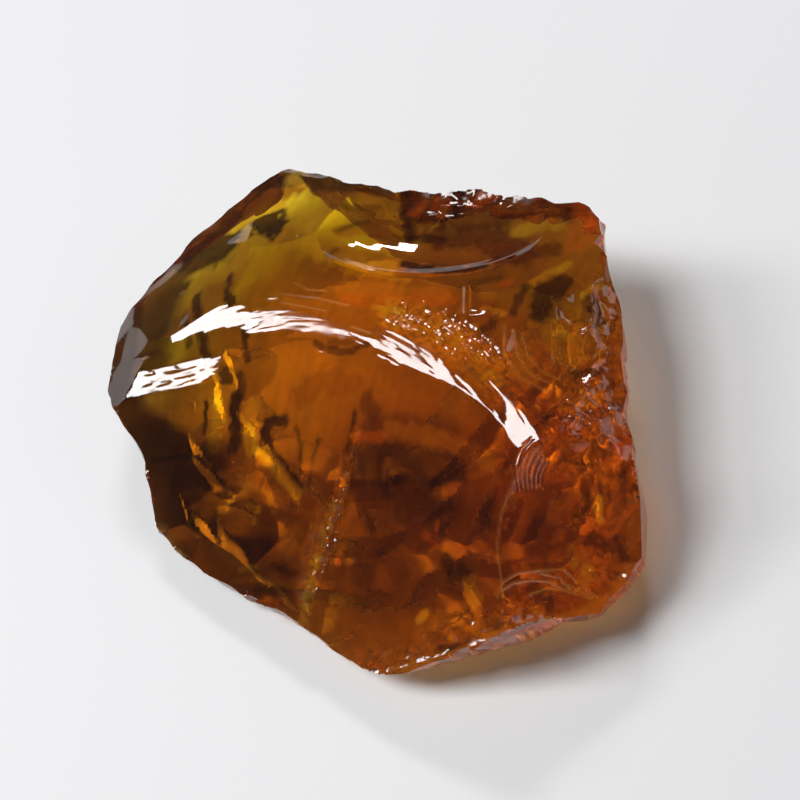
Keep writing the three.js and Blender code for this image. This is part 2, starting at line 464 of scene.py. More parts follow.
def undercut(name, direction, reach, slope, seed):
    way, lean = math.radians(direction), math.radians(slope)
    hollow = (UNDERCUT_HOLLOW, UNDERCUT_HOLLOW)
    at = (reach * math.cos(way), reach * math.sin(way), 0)
    facing = (math.cos(way) * math.sin(lean), math.sin(way) * math.sin(lean), -math.cos(lean))
    return flake(name, at, facing, hollow, UNDERCUT_SIZE, cell=0.5, seed=seed)


# The face it lies on: a flat middle, and rows of shell-shaped scars that each end in a step.
SCAR_MIDDLE = (1, 8)
SCAR_ROWS = (12.5, 16.5, 21, 25.5)
SCAR_WAYS = (150, 400)
SCAR_GAP = 150  # degrees between the scars of a row 1 mm away
SCAR_LENGTH = (2.6, 5)
SCAR_LEAN = (0.3, 0.46)
SCAR_HOLLOW = (3, 9)
SCAR_STEP = 1.3  # slope of the steep step at a scar's outer end
SCAR_SEED = 7
REST_LEVEL = -0.05
SCAR_DEEPEST = 1.9
UNDERSIDE_SIZE = (46, 44)
UNDERSIDE_CELLS = (160, 152)


def underside():
    rng = np.random.default_rng(SCAR_SEED)
    scars = []
    for away in SCAR_ROWS:
        for way in np.arange(*SCAR_WAYS, SCAR_GAP / away):
            turn = math.radians(way + rng.uniform(-6, 6))
            length, lean = rng.uniform(*SCAR_LENGTH), rng.uniform(*SCAR_LEAN)
            reach = away + rng.uniform(-1.2, 1.2)
            spot = SCAR_MIDDLE + np.array([math.cos(turn), math.sin(turn)]) * reach
            scars.append((spot, turn + rng.uniform(-0.5, 0.5), length, lean, rng.uniform(*SCAR_HOLLOW)))

    def floor(u, v):
        x, y = u, -v
        x, y = x + 0.4 * wander(x, y, 2.2, seed=71), y + 0.4 * wander(x, y, 2.2, seed=72)
        depth = np.full(u.shape, REST_LEVEL)
        for spot, turn, length, lean, hollow in scars:
            out = (x - spot[0]) * math.cos(turn) + (y - spot[1]) * math.sin(turn)
            side = (y - spot[1]) * math.cos(turn) - (x - spot[0]) * math.sin(turn)
            rise = np.minimum(lean * (out + length), lean * length - SCAR_STEP * out)
            depth = np.maximum(depth, rise - side * side / (2 * hollow))
        return -np.minimum(depth, SCAR_DEEPEST)

    piece = place_piece("underside", *slab_above(*UNDERSIDE_SIZE, UNDERSIDE_CELLS, floor))
    piece.data.transform(Matrix.Rotation(math.pi, 4, "X"))
    return piece


# The flakes: name, place, way it looks, hollow along and across, size, cell, and what else it has.
CROWN_SIZE = (50, 48)
CROWN_CELLS = (250, 240)
SHOULDER_RIPPLE = ((4, -9), 3.1, 0.015, 4, 22)
FLAKE_RIPPLE = ((5, 2), 1.1, 0.022, 1, 9)
SCOOP_RIPPLE = ((-2, 7), 1.5, 0.03, 0, 14)
FLAKES = [
    ("left_shoulder", *LEFT_SHOULDER, (300, 200), 40, 0.3, {"ripple": SHOULDER_RIPPLE}),
    ("left_back", *LEFT_BACK, (40, 20), 18, 0.2, {"turn": 60}),
    ("left_tip", (-21.2, 4, 5.8), (-0.66, 0.02, 1), (40, 40), 18, 0.2, {}),
    ("back_bevel", *BACK_BEVEL, (60, 30), 44, 0.3, {"rough": (1.3, 3, 0.25)}),
    ("small_cup", (-12.4, 14.6, 9.2), (-0.3, 0.32, 1), (30, 16), 18, 0.2, {"turn": 30}),
    ("back_facet", (-7.7, 15.6, 10.4), (-0.1, 0.36, 1), (40, 30), 18, 0.2, {"turn": 10}),
    ("right_shoulder", *RIGHT_SHOULDER, (30, 60), 40, 0.25, {"rough": (1.6, 2.5, 0.5)}),
    ("right_corner", (19.9, 8.6, 6.5), (1, 0.25, 0.17), (10, 10), 18, 0.25, {}),
    ("right_side", (20, -0.5, 4.5), (1, 0.1, -0.45), (14, 12), 18, 0.25, {}),
    ("rippled_flake", (17.2, 0.6, 12.2), (0.3, 0.05, 1), (15, 14), 18, 0.15, {"ripple": FLAKE_RIPPLE}),
    ("scoop", *SCOOP, (16, 26), 40, 0.25, {"ripple": SCOOP_RIPPLE}),
]
FLAKE_SEED = 41
RIM_CUT_SEED = 75
UNDERCUT_SEED = 60


def main_cuts():
    cuts = [place_piece("crown", *slab_above(*CROWN_SIZE, CROWN_CELLS, crown_height)), bowl(), underside()]
    for number, (*shape, more) in enumerate(FLAKES):
        cuts.append(flake(*shape, **more, seed=FLAKE_SEED + number))
    for number, side in enumerate(RIM_CUTS):
        cuts.append(undercut(f"rim_cut_{number + 1}", *side, RIM_CUT_SEED + number))
    for number, side in enumerate(UNDERCUTS):
        cuts.append(undercut(f"undercut_{number + 1}", *side, UNDERCUT_SEED + number))
    return cuts


def strike_off(stone, cuts):
    group = bpy.data.collections.new("cuts")
    for cut in cuts:
        group.objects.link(cut)
    modifier = stone.modifiers.new("strike off", "BOOLEAN")
    modifier.operation = "DIFFERENCE"
    modifier.solver = "MANIFOLD"
    modifier.operand_type = "COLLECTION"
    modifier.collection = group
    bpy.context.view_layer.update()
    carved = bpy.data.meshes.new_from_object(stone.evaluated_get(bpy.context.evaluated_depsgraph_get()))
    stone.modifiers.clear()
    stone.data = carved
    stone.data.name = "topaz_crystal"
    for cut in cuts:
        bpy.data.objects.remove(cut)
    bpy.data.collections.remove(group)


strike_off(stone, main_cuts())

# Fine relief on the upper faces: hackles, ribs, small steps, chips, nicks and pits.
SCAR_SLAB = 6  # how far above the stone the slab of a fine cut reaches
SKIN = 0.003  # the least that a fine cut takes off, so that it stays one surface


def top_of(stone):
    """A function that gives the height of the stone's upper surface at many places."""
    corners = [v.co / MM for v in stone.data.vertices]
    tree = BVHTree.FromPolygons(corners, [p.vertices for p in stone.data.polygons])
    above, down = 30, Vector((0, 0, -1))

    def height(x, y):
        found = [tree.ray_cast(Vector((a, b, above)), down)[0] for a, b in zip(x.ravel(), y.ravel())]
        return np.array([0 if hit is None else hit.z for hit in found]).reshape(x.shape)

    return height


def scar(name, height, x, y, depth):
    """Fine relief cut into the upper surface: `depth` mm deep on a grid of places, none at its edge."""
    nu, nv = x.shape
    i, j = np.meshgrid(np.linspace(-1, 1, nu), np.linspace(-1, 1, nv), indexing="ij")
    rim = np.maximum(np.abs(i), np.abs(j))
    z = height(x, y) - np.maximum(depth, SKIN) * (1 - smoothstep(rim, 0.6, 0.97))
    z = z + 0.06 * smoothstep(rim, 0.94, 1)
    return place_piece(name, *slab_over(np.stack([x, y, z], -1), SCAR_SLAB))


def polar_places(ways, reaches, counts, middle=STRIKE):
    """A grid of places round a point: ways in degrees, reaches in mm."""
    turns, lengths = np.radians(np.linspace(*ways, counts[0])), np.linspace(*reaches, counts[1])
    way, away = np.meshgrid(turns, lengths, indexing="ij")
    return middle[0] + away * np.cos(way), middle[1] + away * np.sin(way), way, away


def square_places(middle, size, turn, cell):
    """A grid of places on a turned rectangle, and its own coordinates."""
    a = math.radians(turn)
    across = np.linspace(-size[0] / 2, size[0] / 2, int(size[0] / cell) + 1)
    along = np.linspace(-size[1] / 2, size[1] / 2, int(size[1] / cell) + 1)
    u, v = np.meshgrid(across, along, indexing="ij")
    x, y = middle[0] + u * math.cos(a) - v * math.sin(a), middle[1] + u * math.sin(a) + v * math.cos(a)
    return x, y, u, v


RIDGE_WAYS = (24, 34, 46, 58, 66, 72, 89, 91.5, 112)
RIDGE_COMB = (0.6, 0.6, 0.8, 1, 1, 0.9, 0.8, 0.3, 0.5)  # how deep the lines are at these ways


def ridge_hackles(height):
    """Fine lines along the ridge, round the strike point, that comb the light."""
    x, y, way, away = polar_places(ways=(112, 24), reaches=(19, 27.5), counts=(130, 120))
    depth = 0.014 * wander(way * 5, away, 0.32, seed=81) + 0.008 * wander(way * 8, away, 0.17, seed=82)
    depth += 0.03 * smoothstep(wander(way * 2.5, away, 0.3, seed=80), 0.45, 0.8)
    comb = np.interp(np.degrees(way), RIDGE_WAYS, RIDGE_COMB)
    return scar("ridge_hackles", height, x, y, 0.04 + depth * comb)


def swell_hackles(height):
    """The same lines on the low swell across the left end."""
    x, y, u, v = square_places(middle=(-14.2, 2.5), size=(10, 4.2), turn=1, cell=0.11)
    lines = smoothstep(wander(u * 0.2 + v * 0.1, v, 0.25, seed=79), 0.4, 0.8)
    depth = 0.012 * wander(u * 0.2, v, 0.3, seed=78) + 0.02 * lines
    return scar("swell_hackles", height, x, y, 0.02 + depth)


def sugary_band(height):
    """The crumbly band just behind the right half of the ridge."""
    x, y, way, away = polar_places(ways=(68, 36), reaches=(23.9, 27.6), counts=(150, 44))
    fade = 0.5 + 0.5 * wander(way * 20, away, 2.2, seed=83)
    depth = (0.17 - scallops(way * 25, away, spacing=0.34, radius=0.35, lift=0.1, seed=84)) * fade
    return scar("sugary_band", height, x, y, depth)


def ledge_riser(height):
    """The hackly riser of the step that runs down the middle of the front face."""
    across, along = np.linspace(-0.7, 0.7, 15), np.linspace(-1.8, -15.2, 150)
    side, y = np.meshgrid(across, along, indexing="ij")
    x = ledge_line(y) + side
    swell = smoothstep(-y, 2, 8)
    chips = 0.2 - scallops(side, y, spacing=0.26, radius=0.2, lift=0.16, seed=85)
    depth = 0.02 + chips * swell * np.exp(-(side / 0.5) ** 2)
    return scar("ledge_riser", height, x[:, ::-1], y[:, ::-1], np.maximum(depth, 0.01)[:, ::-1])


RIB_SPACING = 0.29
RIB_TWIST = 1.6


def hook_ribs(height):
    """Fine curved ribs where the ridge runs into the scoop."""
    middle = (17.1, -8.3)
    x, y, way, away = polar_places(ways=(196, 122), reaches=(1.5, 3.8), counts=(50, 60), middle=middle)
    turn = 2 * math.pi * away / RIB_SPACING + RIB_TWIST * way + wander(way * 3, away, 1, seed=89)
    depth = 0.08 + 0.05 * np.cos(turn)
    return scar("hook_ribs", height, x, y, depth * smoothstep(away, 1.2, 2))


def thumb_scar(height):
    """A small shell-shaped hollow behind the right shoulder, with a sharp upper lip."""
    x, y, u, v = square_places(middle=(18, 5.2), size=(5.2, 4.6), turn=35, cell=0.12)
    away = np.hypot(u / 1.9, (v + 0.4) / 1.5) + 0.12 * wander(u, v, 0.9, seed=86)
    depth = 0.55 * np.maximum(1 - away ** 2, 0) + 0.02 * wander(u, v, 0.5, seed=87)
    return scar("thumb_scar", height, x, y, depth)


def step_line(height):
    """One short straight step across the top."""
    x, y, u, v = square_places(middle=(10.9, 5.8), size=(3, 3.2), turn=4, cell=0.08)
    step = smoothstep(u, -0.85, -0.75) * (1 - smoothstep(u, -0.6, 0.9))
    return scar("step_line", height, x, y, SKIN + 0.12 * step)


FEATHER = [
    [(11.7, -15.9), (12.3, -14.9), (13.2, -14.2), (14.8, -13.7), (16.3, -13.5), (16.9, -13.9),
     (17.2, -14.3)],
    [(12.2, -15.5), (12.9, -14.9), (14.1, -14.5), (15.3, -14.4)],
    [(14, -15.5), (15.2, -14.9), (16.1, -14.9), (18.1, -15.3)],
    [(16.2, -14.4), (17.1, -14.7), (18.3, -15.2)],
    [(15.3, -14.4), (16.2, -14.8), (17.1, -15)],
    [(14.8, -13.9), (16.1, -14.1), (16.9, -14.9)],
    [(16.9, -15), (17.5, -14.5), (18.6, -15.2)],
]


def away_from(x, y, points):
    """Distance of places from a line through a few points."""
    best = np.full(x.shape, 1e9)
    for (ax, ay), (bx, by) in zip(points, points[1:]):
        dx, dy = bx - ax, by - ay
        share = np.clip(((x - ax) * dx + (y - ay) * dy) / (dx * dx + dy * dy), 0, 1)
        best = np.minimum(best, np.hypot(x - ax - share * dx, y - ay - share * dy))
    return best


def feather_lines(height):
    """The feather-shaped fan of fine cracks that comes to the surface in the scoop."""
    x, y, u, v = square_places(middle=(15.4, -14.7), size=(8.8, 3.6), turn=0, cell=0.065)
    near = np.min([away_from(x, y, line) for line in FEATHER], axis=0)
    return scar("feather_lines", height, x, y, 0.012 + 0.06 * np.exp(-(near / 0.07) ** 2))


CRUMBLED = [
    # name, middle, size, turn, spacing of its chips, depth, seed, cell
    ("right_chips", (18.6, -1.2), (4.6, 6.5), 8, 0.9, 0.3, 91, 0.17),
    ("corner_chips", (20.2, -10.5), (3, 11.5), -2, 0.7, 0.3, 92, 0.17),
    ("scoop_chips", (18.2, -8.4), (4.6, 6.4), 20, 1.1, 0.35, 96, 0.14),
    ("foot_chips", (7.6, -18.2), (19, 2.4), 10, 0.6, 0.25, 93, 0.15),
    ("back_chips", (10.2, 15.7), (9, 1.9), -8, 0.6, 0.22, 95, 0.14),
    ("glitter", (19.3, -3.6), (3.4, 2.6), 0, 0.3, 0.12, 94, 0.1),
]


def crumbled(height, name, middle, size, turn, spacing, deep, seed, cell):
    """A patch of overlapping small shell-shaped chips."""
    x, y, u, v = square_places(middle, size, turn, cell)
    depth = deep - scallops(u, v, spacing, radius=spacing * 1.3, lift=deep * 0.8, seed=seed)
    return scar(name, height, x, y, depth)


NICK_COUNT = 70
NICK_SIZE = (0.15, 0.45)
PIT_COUNT = 60
PIT_SIZE = (0.05, 0.13)
NICK_SEED = 5


def nick(number, place, size, rng):
    """A lumpy ball that bites out of the stone where it is put."""
    ball = bmesh.new()
    bmesh.ops.create_icosphere(ball, subdivisions=2 if size[0] > 0.2 else 1, radius=1)
    points = [vert.co * (1 + rng.uniform(-0.08, 0.08)) for vert in ball.verts]
    piece = add_mesh(f"nick_{number}", points, [[vert.index for vert in face.verts] for face in ball.faces])
    ball.free()
    turn = Matrix.Rotation(rng.uniform(0, 6.28), 4, "Z") @ Matrix.Rotation(rng.uniform(-0.5, 0.5), 4, "X")
    shape = Matrix.Translation(place) @ turn @ Matrix.Diagonal((*size, 1))
    piece.data.transform(Matrix.Scale(MM, 4) @ shape)
    return piece


def nicks(height):
    """Small bites out of the thin rim, and pits here and there on the faces."""
    rng = np.random.default_rng(NICK_SEED)
    ring = np.array(fine_outline())
    bites = []
    for _ in range(NICK_COUNT):
        spot = ring[rng.integers(len(ring))] * 0.997
        level = height(np.array([spot[0] * 0.985]), np.array([spot[1] * 0.985]))[0]
        size = rng.uniform(*NICK_SIZE) * np.array([1.4, 1, 0.8])
        bites.append(((spot[0], spot[1], level + 0.15), size))
    for _ in range(PIT_COUNT):
        x, y = rng.uniform(-17, 20), rng.uniform(-17, 15)
        level = height(np.array([x]), np.array([y]))[0]
        bites.append(((x, y, level), rng.uniform(*PIT_SIZE) * np.array([1, 1, 1])))
    return [nick(number, place, size, rng) for number, (place, size) in enumerate(bites)]


def fine_cuts(stone):
    height = top_of(stone)
    lines = [ridge_hackles, swell_hackles, sugary_band, ledge_riser, hook_ribs, thumb_scar, step_line]
    cuts = [line(height) for line in lines + [feather_lines]]
    cuts += [crumbled(height, *patch) for patch in CRUMBLED]
    return cuts + nicks(height)


strike_off(stone, fine_cuts(stone))

SHARP_EDGE = math.radians(24)
SHORTEST_EDGE = 1e-7


def finish_faces(stone):
    """Fracture faces are smooth in themselves and meet at sharp edges."""
    work = bmesh.new()
    work.from_mesh(stone.data)
    bmesh.ops.dissolve_degenerate(work, dist=SHORTEST_EDGE, edges=work.edges)
    bmesh.ops.triangulate(work, faces=[f for f in work.faces if len(f.verts) > 4])
    for face in work.faces:
        face.smooth = True
    for edge in work.edges:
        if len(edge.link_faces) == 2:
            edge.smooth = edge.calc_face_angle() < SHARP_EDGE
    work.to_mesh(stone.data)
    work.free()


finish_faces(stone)

# Its colour changes from golden to brown, as broad patches and as strokes and bars that follow lines.
# Much of it is painted light and shade: golden where light comes through thin parts, dark where the
# stone turns light back inside, with painted glints, reflections and sparkle. Each number of a colour
# is the share of red, green and blue that one face lets through.
BODY_TINT = (0.72, 0.42, 0.19)
UNDER_TINT = (1, 0.89, 0.65)
GOLD = (1, 0.78, 0.32)
BRIGHT = (1, 0.84, 0.4)
AMBER = (0.9, 0.55, 0.25)
OLIVE = (0.3, 0.2, 0.09)
BROWN = (0.5, 0.235, 0.1)
RED_BROWN = (0.56, 0.22, 0.09)
DARK_RED = (0.25, 0.09, 0.045)
ORANGE = (1, 0.38, 0.13)
DARK = (0.07, 0.032, 0.014)
# A dark brownish grey used for painted shade on the rims and the left foot.
PAINTED_SHADE = (0.19, 0.13, 0.065)
# Broad patches. The golden ones are painted light, where light comes through thin parts of the stone.
PATCHES = [
    # place, reach, turn, squareness, softness, colour, strength
    ((3, -9.5), (17, 8.5), -12, 2, 0.45, BROWN, 0.9),  # lower half
    ((12, 3), (9, 6.5), 0, 2, 0.6, (0.5, 0.3, 0.15), 0.9),  # right of the ridge
    ((-6, 12.5), (9, 5), 15, 2, 0.35, GOLD, 1),  # golden back
    ((-11, 5), (6.5, 6), -20, 2, 0.4, GOLD, 0.95),  # golden left
    ((-5.5, 1.5), (5, 4.5), -15, 2, 0.5, AMBER, 0.8),
    ((5.2, -7), (4.9, 3.9), -6, 4, 0.16, (0.29, 0.135, 0.06), 0.85),  # dark square
    ((2, -12.5), (4, 2.6), 10, 2, 0.4, (0.33, 0.14, 0.06), 0.6),
    ((16.5, -9), (6.5, 9), 0, 2, 0.4, RED_BROWN, 0.8),  # scoop
    ((4, 7.6), (7.5, 3.2), -8, 2, 0.5, (0.62, 0.37, 0.17), 0.8),
    ((2.3, 13.6), (4, 2.6), 0, 2, 0.5, GOLD, 0.7),
    ((20.6, -6), (2.6, 8), 0, 2, 0.4, (0.42, 0.2, 0.08), 0.8),
    ((14.3, -9.8), (2.6, 4), -8, 2, 0.35, (0.45, 0.17, 0.07), 0.5),
    ((-6, 19), (9, 1.4), -10, 2, 0.4, OLIVE, 0.8),  # back rim
    ((12, 15.4), (10, 2), -12, 2, 0.4, (0.32, 0.15, 0.08), 0.9),
]
# Painted shade on the face below, where the stone turns light back inside and little comes through.
LOWER_PATCHES = [  # dark places on the face below
    ((-16.8, -3), (5.2, 4.7), -15, 4, 0.10, DARK, 0.99),  # black left foot
    ((-19.5, 0.5), (3, 3.5), 0, 2, 0.3, DARK, 0.95),
    ((-12, -9), (6.5, 4.5), -35, 2, 0.35, (0.19, 0.095, 0.05), 0.9),  # dark foot
    ((-18, 9), (5, 3.0), 55, 2, 0.25, PAINTED_SHADE, 0.95),  # left rim
    ((-20.7, 5.4), (2.3, 4.2), 0, 2, 0.3, (0.08, 0.042, 0.016), 0.98),
]
# Painted shade on the face below the left and back rims.
LOWER_SHAPES = [
    # colour, strength, corners
    (PAINTED_SHADE, 0.97, [(-20.8, 9.1), (-18.4, 11), (-13.5, 12), (-15.9, 9), (-18.1, 7.7), (-21.6, 6.5)]),
    ((0.1, 0.056, 0.022), 0.97,
     [(-22.3, 6.5), (-21, 9.6), (-19.2, 10.6), (-18.6, 8.3), (-19.4, 6.4), (-20.6, 4.4), (-22.3, 2)]),
    ((0.1, 0.06, 0.03), 0.95,
     [(-16.8, 13.4), (-14.1, 15.6), (-9.1, 15.1), (-9.5, 14), (-11.5, 12.7), (-14.9, 12.3)]),
    ((0.4, 0.27, 0.12), 0.8, [(-13.8, 15.9), (-7.8, 20.2), (-4.7, 19), (-8.8, 17.2), (-11.5, 16.1)]),
]
# Painted shade: a dark facet seen by reflection inside the stone, drawn on the upper face.
DARK_TRIANGLE = [(-9.1, 15), (-5.4, 16.7), (-5.4, 15), (-6.3, 12.3), (-7.1, 12.6)]
STEP_LINE = [(0.8, -3.3), (-0.5, -5.7), (-1.5, -8), (-2.7, -10.7), (-4.2, -13.8), (-4.8, -16.7)]
BESIDE_STEP = [(-2.9, -8.9), (-4, -11.7), (-4.4, -14.6)]
